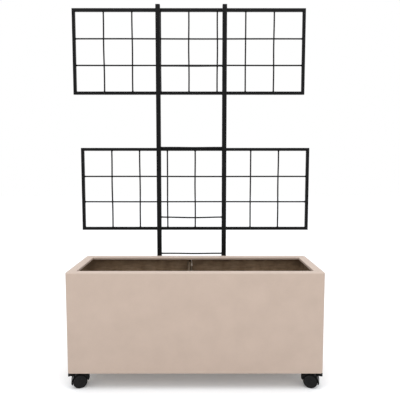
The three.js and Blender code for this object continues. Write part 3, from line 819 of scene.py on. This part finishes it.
# %% Weld metal
CROSSING_NUGGET, POST_NUGGET = (4.0, 3.0, 4.0), (2.0, 2.0, 5.4)
PINCHED = Matrix.Diagonal((1, 0.74, 1, 1))
END_TURNS = {"x": (LAY_ALONG_X, Matrix.Rotation(-QUARTER, 4, "Y")), "z": (Matrix.Identity(4), OVER)}
flare_form = spun("flare_form", [
    (0, 0), (4.3, 0), (4.1, 0.5), (3.7, 1.3), (3.4, 2.3), (3.15, 3.5), (3.0, 4.6), (0, 4.6)], steps=14)
with editing(flare_form):
    shake(0.22 * MM, seed=5)
smooth(flare_form, 60)
bpy.ops.mesh.primitive_uv_sphere_add(segments=14, ring_count=8, radius=1 * MM, location=(0, 0, 0))
nugget_form = settle(bpy.context.object, "nugget_form")
with editing(nugget_form):
    shake(0.12 * MM, seed=9)
smooth(nugget_form, 70)


def end_fillets(axis, low, high, across, pinch=Matrix.Identity(4)):
    """A fillet at each end of a wire along X or Z; across is the wire's other two places."""
    fillets = []
    for end, turn in zip((low, high), END_TURNS[axis]):
        place = list(across)
        place.insert("xyz".index(axis), end)
        fillets.append(copy_of(flare_form, "weld", at(*place) @ turn @ pinch))
    return fillets


def nugget(place, size):
    """A nugget with these half sizes, in millimetres."""
    return copy_of(nugget_form, "weld", at(*place) @ Matrix.Diagonal((*size, 1)))


print("weld forms ready")

# %% [markdown]
# The uprights lie in front and the cross wires behind, pressed into each other a little where
# they are spot welded. They are spread evenly over the frame's opening.

# %% Lattices and their welds
UPRIGHT_TURN, CROSSWIRE_TURN, CROSSWIRE_START = 1.3, 1.7, 0.4


def spread(low, high, count):
    """Even places between two ends, without the ends."""
    return [low + (high - low) * (i + 1) / (count + 1) for i in range(count)]


for panel in PANELS:
    low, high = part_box(f"{panel}_lattice")
    front_layer, back_layer = low.y + WIRE / 2, high.y - WIRE / 2
    crosswire_places = spread(low.z, high.z, CROSSWIRES)
    wires, welds = [], []
    for i, x in enumerate(spread(low.x, high.x, UPRIGHTS)):
        spin = Matrix.Rotation(i * QUARTER * UPRIGHT_TURN, 4, "Z")
        wires.append(copy_of(upright_form, "wire", at(x, front_layer, low.z - SEAT) @ spin))
        welds += end_fillets("z", low.z, high.z, (x, front_layer), PINCHED)
        for z in crosswire_places:
            welds.append(nugget((x, (low.y + high.y) / 2, z), CROSSING_NUGGET))
    for i, z in enumerate(crosswire_places):
        spin = Matrix.Rotation(i * QUARTER * CROSSWIRE_TURN + CROSSWIRE_START, 4, "Z")
        placed = at(low.x - SEAT, back_layer, z) @ LAY_ALONG_X @ spin
        wires.append(copy_of(crosswire_form, "wire", placed))
        welds += end_fillets("x", low.x, high.x, (back_layer, z), PINCHED)
    finished(joined(f"{panel}_wires", wires), steel, f"{panel}_lattice")
    finished(joined(f"{panel}_wire_welds", welds), steel)
print(UPRIGHTS, "uprights and", CROSSWIRES, "cross wires in each panel")

# %% [markdown]
# The rungs are round rods between the posts. The second one was pulled out of line by its
# welds and sags slightly. Fillets at the rungs' ends, and beads where the panels lie on the
# posts, are one piece of weld metal.

# %% Rungs and the welds on the posts
RUNG_SAGS = (0.3 * MM, 1.8 * MM, 0.3 * MM, 0.3 * MM)
post_welds = []
for number, sag in enumerate(RUNG_SAGS, start=1):
    node = f"trellis_rung_{number}"
    low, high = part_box(node)
    place = (low + high) / 2
    rung = drawn_wire(f"rung_{number}", high.z - low.z, high.x - low.x, RUNG_WANDER, sag=sag)
    rung.data.transform(at(low.x, place.y, place.z) @ Matrix.Scale(-1, 4, (0, 0, 1)) @ LAY_ALONG_X)
    rung.data.flip_normals()
    finished(rung, steel, node)
    post_welds += end_fillets("x", low.x, high.x, (place.y, place.z))
for panel in PANELS:
    for rail in ("rail_top", "rail_bottom"):
        rail_low, rail_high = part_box(f"{panel}_{rail}")
        for side in SIDES:
            for post_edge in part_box(f"trellis_post_{side}"):
                place = (post_edge.x, rail_low.y, (rail_low.z + rail_high.z) / 2)
                post_welds.append(nugget(place, POST_NUGGET))
finished(joined("post_welds", post_welds), steel)
for form in (upright_form, crosswire_form, flare_form, nugget_form):
    bpy.data.objects.remove(form)
print("rungs and post welds done")

# %% [markdown]
# ## Bolts and nuts
# Two button-head bolts hold each post, with flange nuts inside the trough. Turned pieces are
# spun from their half outline, with a zigzag where there is a thread. A nut starts as a prism
# with six sides, and what it has in common with a spun cone keeps the curved corner chamfers
# of a real nut.

# %% Bolts and nuts
TURN_IN = Matrix.Rotation(math.pi / 2, 4, "X")


def thread(radius, start, end, pitch=1.0, depth=0.4):
    """Outline points, in millimetres, of a threaded stretch between two heights."""
    points = []
    for i in range(round((end - start) / pitch)):
        points += [(radius - depth, start + i * pitch), (radius, start + (i + 0.5) * pitch)]
    return points


def flange_nut(name, flange, flange_height, corners, height, bore):
    """A hexagon nut on its own flange, standing on z = 0, with sizes in millimetres."""
    nut = start_rod(name, "z", corners * MM, 0.5 * flange_height * MM, height * MM, (0, 0), sides=6)
    cone = spun("cone", [(0, 0), (corners / 2, 0), (corners / 2, height - 0.07 * corners),
                         (0.42 * corners, height), (0, height)])
    combine(nut, "INTERSECT", [cone])
    edge = flange / 2
    skirt = spun("skirt", [
        (0, 0), (edge - 0.4, 0), (edge - 0.1, 0.2), (edge - 0.1, 0.5 * flange_height),
        (edge - 0.6, 0.7 * flange_height), (0.52 * corners, flange_height), (0, flange_height)])
    weld_on(nut, skirt)
    return smooth(cut_away(nut, start_rod("drill", "z", bore * MM, -MM, (height + 1) * MM, (0, 0))))


bolt_form = spun("bolt_form", [
    (0, -4.0), (2.3, -4.0), (3.5, -3.7), (4.5, -2.9), (5.1, -1.8), (5.3, -0.8), (5.2, -0.2), (4.9, 0),
    (3.0, 0), *thread(3.0, 12, 35), (2.5, 36), (0, 36)], steps=32)
cut_away(bolt_form, start_rod("socket", "z", 4.6 * MM, -4.4 * MM, -1.8 * MM, (0, 0), sides=6))
smooth(bolt_form)
wall_nut_form = flange_nut("wall_nut_form", 24, 2, 11.4, 7, 6.2)
for side in SIDES:
    head_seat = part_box(f"trellis_post_{side}")[1].y
    for level_name in LEVELS:
        spot = f"{level_name}_{side}"
        low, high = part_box(f"wall_nut_{spot}")
        middle = (low + high) / 2
        bolt = copy_of(bolt_form, f"bolt_{spot}", at(middle.x, head_seat, middle.z) @ TURN_IN)
        nut = copy_of(wall_nut_form, f"nut_{spot}", at(middle.x, high.y, middle.z) @ TURN_IN)
        finished(bolt, zinc, f"wall_bolt_{spot}")
        finished(nut, zinc, f"wall_nut_{spot}")
print(len(bolt_form.data.polygons), "faces in a bolt")

# %% [markdown]
# ## Casters
# A caster is modelled once about its axle, in millimetres, with X towards the pedal and Z up,
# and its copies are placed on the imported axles. A moulding starts as its side outline, made of
# arcs and curves, which is filled and extruded across.

# %% Outlines


def arc(centre, radii, start, end, steps):
    """Points of an elliptical arc, between two angles in degrees."""
    points = []
    for i in range(steps + 1):
        angle = math.radians(start + (end - start) * i / steps)
        points.append((centre[0] + radii[0] * math.cos(angle), centre[1] + radii[1] * math.sin(angle)))
    return points


def curve(start, first_pull, second_pull, end, steps):
    """Points of a curve from start to end, pulled towards two points, without its start."""
    points = []
    for i in range(1, steps + 1):
        t = i / steps
        weights = ((1 - t) ** 3, 3 * t * (1 - t) ** 2, 3 * t * t * (1 - t), t ** 3)
        spots = (start, first_pull, second_pull, end)
        points.append(tuple(sum(w * spot[k] for w, spot in zip(weights, spots)) for k in (0, 1)))
    return points


def start_slab(name, outline, half_width, edge=0.0, stations=()):
    """An outline in X and Z, extruded along Y from side to side, with its rims rounded by edge."""
    stations = stations or (-half_width, half_width)
    mesh = bpy.data.meshes.new(name)
    mesh.from_pydata([(x * MM, stations[0] * MM, z * MM) for x, z in outline], [], [range(len(outline))])
    slab = bpy.data.objects.new(name, mesh)
    bpy.context.collection.objects.link(slab)
    with editing(slab):
        pick_all()
        for here, there in zip(stations, stations[1:]):
            extrude(0, (there - here) * MM, 0)
        pick_all()
        bpy.ops.mesh.normals_make_consistent(inside=False)
        if edge:
            pick_edges(slab, lambda a, b: near(a.y, b.y) and near(abs(a.y), half_width * MM))
            round_off(edge * MM, 3)
    return slab


def ring_sector(inner, outer, start, end):
    """Outline of part of a ring about the axle."""
    return arc((0, 0), (outer, outer), start, end, 12) + arc((0, 0), (inner, inner), end, start, 12)


print("outline helpers ready")

# %% [markdown]
# The hood is extruded in slices that lie close together where its corners are round. A rule
# then draws each slice in: the nose by a large radius, the skirt by a small one, and every rim
# by a smaller one still. The wheel pockets, the slots for the lever and the holes are cut last.

# %% Hood
HOOD, HOOD_HALF, POCKET, WEB_HALF = 29.0, 23.0, 26.5, 7.0
NOSE, SKIRT, SHOULDER, SKIRT_FOOT = -33.0, 30.8, -20.0, -9.0
NOSE_CORNER, SKIRT_CORNER, RIM_EDGE_ROUND = 9.0, 4.0, 1.3
NOSE_FROM = SHOULDER / 2
PINTLE_X, PIVOT = -15.0, (12.94, 9.06)
PIVOT_SPOT = [v * MM for v in PIVOT]
SLOT_HALF, LEVER_SWEEP, BAR_SWEEP = 4.6, (19.8, 37.0), (11.7, 21.5)
THROUGH = 8 * MM
hood_outline = (
    [(28.5, SKIRT_FOOT)]
    + curve((28.5, SKIRT_FOOT), (30.0, -6.6), (SKIRT, -4.4), (SKIRT, -2.0), 6)
    + arc((0, 0), (HOOD, HOOD), 9, 90, 26)
    + curve((SHOULDER, HOOD), (-26.5, HOOD), (NOSE, 20.0), (NOSE, 12.0), 16)
    + curve((NOSE, 12.0), (NOSE, 4.0), (-29.0, -1.0), (-26.2, -1.0), 8)
    + [(-13.0, SKIRT_FOOT)])


def corner_slices(half_width, *radii):
    """Places across a width, from side to side, that follow the curve of its rounded corners."""
    places = {0.0}
    for radius in radii:
        for i in range(7):
            places.add(round(half_width - radius + radius * math.sin(math.pi / 12 * i), 3))
    return sorted({-place for place in places} | places)


def drawn_in(across, half_width, radius):
    """How far a rounded corner of this radius has drawn in, at a distance from the middle."""
    past = min(max(across - half_width + radius, 0), radius)
    return radius - math.sqrt(radius ** 2 - past ** 2)


hood_form = start_slab("hood_form", hood_outline, HOOD_HALF,
                       stations=corner_slices(HOOD_HALF, NOSE_CORNER, SKIRT_CORNER, RIM_EDGE_ROUND))
for vertex in hood_form.data.vertices:
    place = vertex.co / MM
    across = abs(place.y)
    if place.x < NOSE_FROM:
        squeeze = drawn_in(across, HOOD_HALF, NOSE_CORNER) / (NOSE_FROM - NOSE)
        place.x += squeeze * (NOSE_FROM - place.x)
    elif place.z < 0:
        place.x -= drawn_in(across, HOOD_HALF, SKIRT_CORNER)
    radial = Vector((place.x, 0, place.z))
    place -= radial.normalized() * drawn_in(across, HOOD_HALF, RIM_EDGE_ROUND)
    vertex.co = place * MM
pocket_form = spun("pocket", [
    (0, WEB_HALF), (POCKET - 0.8, WEB_HALF), (POCKET, WEB_HALF + 0.8), (POCKET, 22.1),
    (POCKET + 0.9, HOOD_HALF + 0.1), (POCKET + 0.9, 25), (0, 25)], steps=96)
pockets = [copy_of(pocket_form, "pocket", Matrix.Rotation(side * math.pi / 2, 4, "X")) for side in (-1, 1)]
bpy.data.objects.remove(pocket_form)
cut_away(
    hood_form, *pockets,
    start_slab("lever_slot", ring_sector(8.0, POCKET - 1, 10, 90), SLOT_HALF),
    start_slab("lever_mouth", ring_sector(*LEVER_SWEEP, 10, 60), SLOT_HALF),
    start_slab("bar_window", ring_sector(*BAR_SWEEP, 56, 90), WEB_HALF + 1),
    start_rod("axle_hole", "y", 6.6 * MM, -THROUGH, THROUGH, (0, 0)),
    start_rod("pivot_hole", "y", 4.6 * MM, -THROUGH, THROUGH, PIVOT_SPOT, sides=20),
    start_rod("pintle_hole", "z", 8.6 * MM, 8 * MM, 30 * MM, (PINTLE_X * MM, 0)))
smooth(hood_form)
print(len(hood_form.data.polygons), "faces in a hood")

# %% [markdown]
# The wheel is one spun outline. Its face is dished, with a raised cap over the axle's end and a
# rolled rim, and its tread is slightly crowned. A second material covers only the tread.

# %% Wheel, axle and stem
TREAD_FROM = 22.9 * MM
wheel_form = spun("wheel_form", [
    (0, 13.8), (4.6, 13.7), (5.6, 13.2), (6.1, 12.5), (7.0, 12.2), (12.0, 12.3), (16.0, 12.7), (18.2, 13.3),
    (19.3, 14.3), (20.2, 14.9), (21.4, 15.0), (22.8, 14.8), (23.9, 14.1), (24.6, 13.0), (24.9, 11.4),
    (25.0, 9.4), (25.0, 5.6), (24.9, 3.6), (24.6, 2.0), (23.9, 0.9), (22.8, 0.2), (21.4, 0.0), (20.8, 0.5),
    (20.8, 10.5), (20.2, 11.0), (7.1, 11.0), (6.5, 10.5), (6.5, 0.4), (6.1, 0), (3.7, 0), (3.3, 0.4),
    (3.3, 12), (0, 12)], steps=96)
wheel_form.data.materials.append(wheel_grey.material)
wheel_form.data.materials.append(tread.material)
for face in wheel_form.data.polygons:
    face.material_index = 1 if math.hypot(face.center.x, face.center.y) > TREAD_FROM else 0
axle_form = spun("axle_form", [
    (0, -19.7), (2.5, -19.7), (3.0, -19.2), (3.0, 19.2), (2.5, 19.7), (0, 19.7)], steps=32)
stem_form = spun("stem_form", [
    (0, 34), (3.4, 34), (4.0, 34.6), (4.0, 54.4), (8.9, 54.4), (9.3, 54.8), (9.3, 57.1), (8.9, 57.5),
    (13.9, 57.5), (14.4, 57.9), (14.4, 59.6), (13.9, 60), (5.0, 60),
    *thread(5.0, 86, 102, pitch=1.5, depth=0.6), (4.2, 103), (0, 103)], steps=48)
stem_nut_form = flange_nut("stem_nut_form", 30, 2, 18.4, 10, 10.2)
print(len(wheel_form.data.polygons), "faces in a wheel")

# %% [markdown]
# The brake lever is one moulding. Its pedal has a rounded toe, a heel that hooks down over the
# hood, and grooves for the shoe. One arm joins it to the pivot, and the other carries the bar
# that presses on the inner rims of both wheels.

# %% Brake lever
BAR = (4.47, 14.57)
BAR_SPOT = [v * MM for v in BAR]
HEEL, TOE, HOOK_TIP = (22.7, 21.9), 41.6, (25.9, 17.8)
PEDAL_HALF, PEDAL_THICKNESS, PEDAL_EDGE = 11.0, 6.0, 1.2
ARM_HALF, ARM_EDGE = 4.2, 0.6
GROOVES, GROOVE_HALF, GROOVE_DEPTH, GROOVE_REACH = (28.6, 31.3, 34.0, 36.7), 0.5, 0.6, 8


def tapered(start, end, start_width, end_width):
    """Outline of a flat arm between two points, with its width at each of them."""
    way = (Vector(end) - Vector(start)).normalized()
    side = Vector((-way.y, way.x))
    corners = ((start, -start_width), (end, -end_width), (end, end_width), (start, start_width))
    return [tuple(Vector(point) + side * width / 2) for point, width in corners]


rounding = PEDAL_THICKNESS / 2
pedal_outline = (
    arc((TOE - rounding, HEEL[1]), (rounding, rounding), -90, 90, 10)
    + arc((HEEL[0] + 1.6, HEEL[1] + rounding - 1.6), (1.6, 1.6), 90, 180, 5)
    + [(HEEL[0] + 0.1, HEEL[1] - 0.6)]
    + arc(HOOK_TIP, (0.9, 0.9), 190, 330, 5)
    + arc((HOOK_TIP[0] + 6.4, HOOK_TIP[1] - 1.4), (5.6, HEEL[1] - HOOK_TIP[1] + 1.4 - rounding), 160, 90, 7))
outer_arm = tapered(PIVOT, (HEEL[0] + 2.6, HEEL[1] - 0.4), 6.8, 6.2)
lever_form = start_slab("lever_form", pedal_outline, PEDAL_HALF, edge=PEDAL_EDGE)
weld_on(
    lever_form,
    start_slab("outer_arm", outer_arm, ARM_HALF, edge=ARM_EDGE),
    start_slab("inner_arm", tapered(PIVOT, BAR, 6.8, 4.4), ARM_HALF, edge=ARM_EDGE),
    start_rod("hub", "y", 8 * MM, -ARM_HALF * MM, ARM_HALF * MM, PIVOT_SPOT),
    start_rod("trunnion", "y", 4 * MM, -6.7 * MM, 6.7 * MM, PIVOT_SPOT, sides=24),
    start_rod("brake_bar", "y", 5 * MM, -13 * MM, 13 * MM, BAR_SPOT, sides=24))
groove_top = (HEEL[1] + rounding) * MM
for x in GROOVES:
    low = ((x - GROOVE_HALF) * MM, -GROOVE_REACH * MM, groove_top - GROOVE_DEPTH * MM)
    high = ((x + GROOVE_HALF) * MM, GROOVE_REACH * MM, groove_top + MM)
    cut_away(lever_form, start_block("groove", low, high))
smooth(lever_form)
print(len(lever_form.data.polygons), "faces in a lever")

# %% [markdown]
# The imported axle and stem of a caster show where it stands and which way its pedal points, so
# a caster can be placed without repeating any number.

# %% Place the casters
WHEEL_INNER_FACE = 8 * MM
for name in CASTERS:
    stem_spot, axle_spot = middle_of(f"caster_{name}_stem"), middle_of(f"caster_{name}_axle")
    way = axle_spot - stem_spot
    turned = Matrix.Rotation(math.atan2(way.y, way.x), 4, "Z")
    upright = at(stem_spot.x, stem_spot.y, 0) @ turned
    placed = at(*axle_spot) @ turned
    nut_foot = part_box(f"caster_{name}_nut")[0].z
    caster = f"caster_{name}"
    pieces = (
        (stem_form, "stem", upright, zinc, "stem", "planter"),
        (stem_nut_form, "stem_nut", at(0, 0, nut_foot) @ upright, zinc, "nut", "planter"),
        (hood_form, "hood", placed, plastic, "hood", caster),
        (axle_form, "axle", placed @ TURN_IN, zinc, "axle", caster),
        (lever_form, "brake_pedal", placed, plastic, "brake_lever", f"{caster}_brake"),
    )
    for form, title, spot, finish, node, body in pieces:
        finished(copy_of(form, f"{title}_{name}", spot), finish, f"{caster}_{node}", body=body)
    for end in ("front", "rear"):
        node = f"{caster}_wheel_{end}"
        side = math.copysign(1, (turned.inverted() @ (middle_of(node) - axle_spot)).y)
        facing = Matrix.Rotation(-side * math.pi / 2, 4, "X")
        wheel = copy_of(wheel_form, f"wheel_{name}_{end}", placed @ facing @ at(0, 0, WHEEL_INNER_FACE))
        recorded(wheel, wheel_grey.slot, node, node)
for form in (bolt_form, wall_nut_form, hood_form, wheel_form,
             axle_form, stem_form, stem_nut_form, lever_form):
    bpy.data.objects.remove(form)
print(len(CASTERS), "casters placed")

# %% [markdown]
# ## Floor, light and camera
# The planter stands on a pale floor that runs into a white background, so only its soft shadow
# shows. Seen by the camera, or mirrored in a piece, the floor also glows a little, so that where
# no shadow falls it is the plain white of the backdrop. The glow lights nothing.

# %% Floor
GLOW = 0.13
floor_finish = Finish("pale_floor", 0.9, specular=0.1)
floor_finish.tint(3, 2, (0.3, (0.900, 0.912, 0.930)), (0.7, (0.925, 0.937, 0.955)))
tree = floor_finish.tree
rays = floor_finish.node("LightPath").outputs


def summed(first, second):
    """The sum of two sockets, at most 1."""
    node = floor_finish.node("Math", (("operation", "ADD"), ("use_clamp", True)))
    tree.links.new(first, node.inputs[0])
    tree.links.new(second, node.inputs[1])
    return node.outputs["Value"]


mirrored = summed(rays["Is Glossy Ray"], rays["Is Transmission Ray"])
strength = floor_finish.ranged(summed(rays["Is Camera Ray"], mirrored), 0.0, GLOW)
glow = floor_finish.node("Emission", Strength=strength)
both = floor_finish.node("AddShader")
tree.links.new(floor_finish.shader.outputs["BSDF"], both.inputs[0])
tree.links.new(glow.outputs["Emission"], both.inputs[1])
tree.links.new(both.outputs["Shader"], tree.nodes["Material Output"].inputs["Surface"])

bpy.ops.mesh.primitive_plane_add(size=14, location=(0, 3, 0))
floor = settle(bpy.context.object, "floor")
floor.data.materials.append(floor_finish.material)
print("floor laid")

# %% [markdown]
# The sky is even and white. Two large soft lamps hang in front of the planter and high above it,
# one on each side. They give the rim its brighter top, and the right one is slightly stronger.

# %% Light
LAMP_SIZE, LIT_SPOT = 1.8, Vector((0, 0, 0.4))
world = bpy.data.worlds.new("even_sky")
world.use_nodes = True
bpy.context.scene.world = world
sky = world.node_tree.nodes["Background"]
sky.inputs["Color"].default_value = (1, 1, 1, 1)
sky.inputs["Strength"].default_value = 1.0


def soft_lamp(name, place, power):
    """A large round lamp that shines at the trough."""
    lamp = bpy.data.objects.new(name, bpy.data.lights.new(name, "AREA"))
    lamp.data.shape, lamp.data.size, lamp.data.energy = "DISK", LAMP_SIZE, power
    lamp.location = place
    lamp.rotation_euler = (LIT_SPOT - lamp.location).to_track_quat("-Z", "Y").to_euler()
    bpy.context.collection.objects.link(lamp)


soft_lamp("right_lamp", (0.85, -0.8, 3.0), 18)
soft_lamp("left_lamp", (-0.85, -0.8, 3.0), 17)

# %% [markdown]
# The camera stands a metre and a half in front of the trough and looks slightly down. Its place
# and lens follow from the trough's corners in the photograph.

# %% Camera
camera = bpy.data.objects.new("camera", bpy.data.cameras.new("camera"))
bpy.context.collection.objects.link(camera)
camera.location = (0.0308, -1.4943, 0.7748)
camera.rotation_euler = (math.radians(85.646), 0, math.radians(-0.057))
camera.data.lens, camera.data.sensor_width = 35.6, 36
bpy.context.scene.camera = camera
bpy.context.scene.view_settings.view_transform = "Standard"
bpy.context.scene.view_settings.look = "None"
print("camera set")
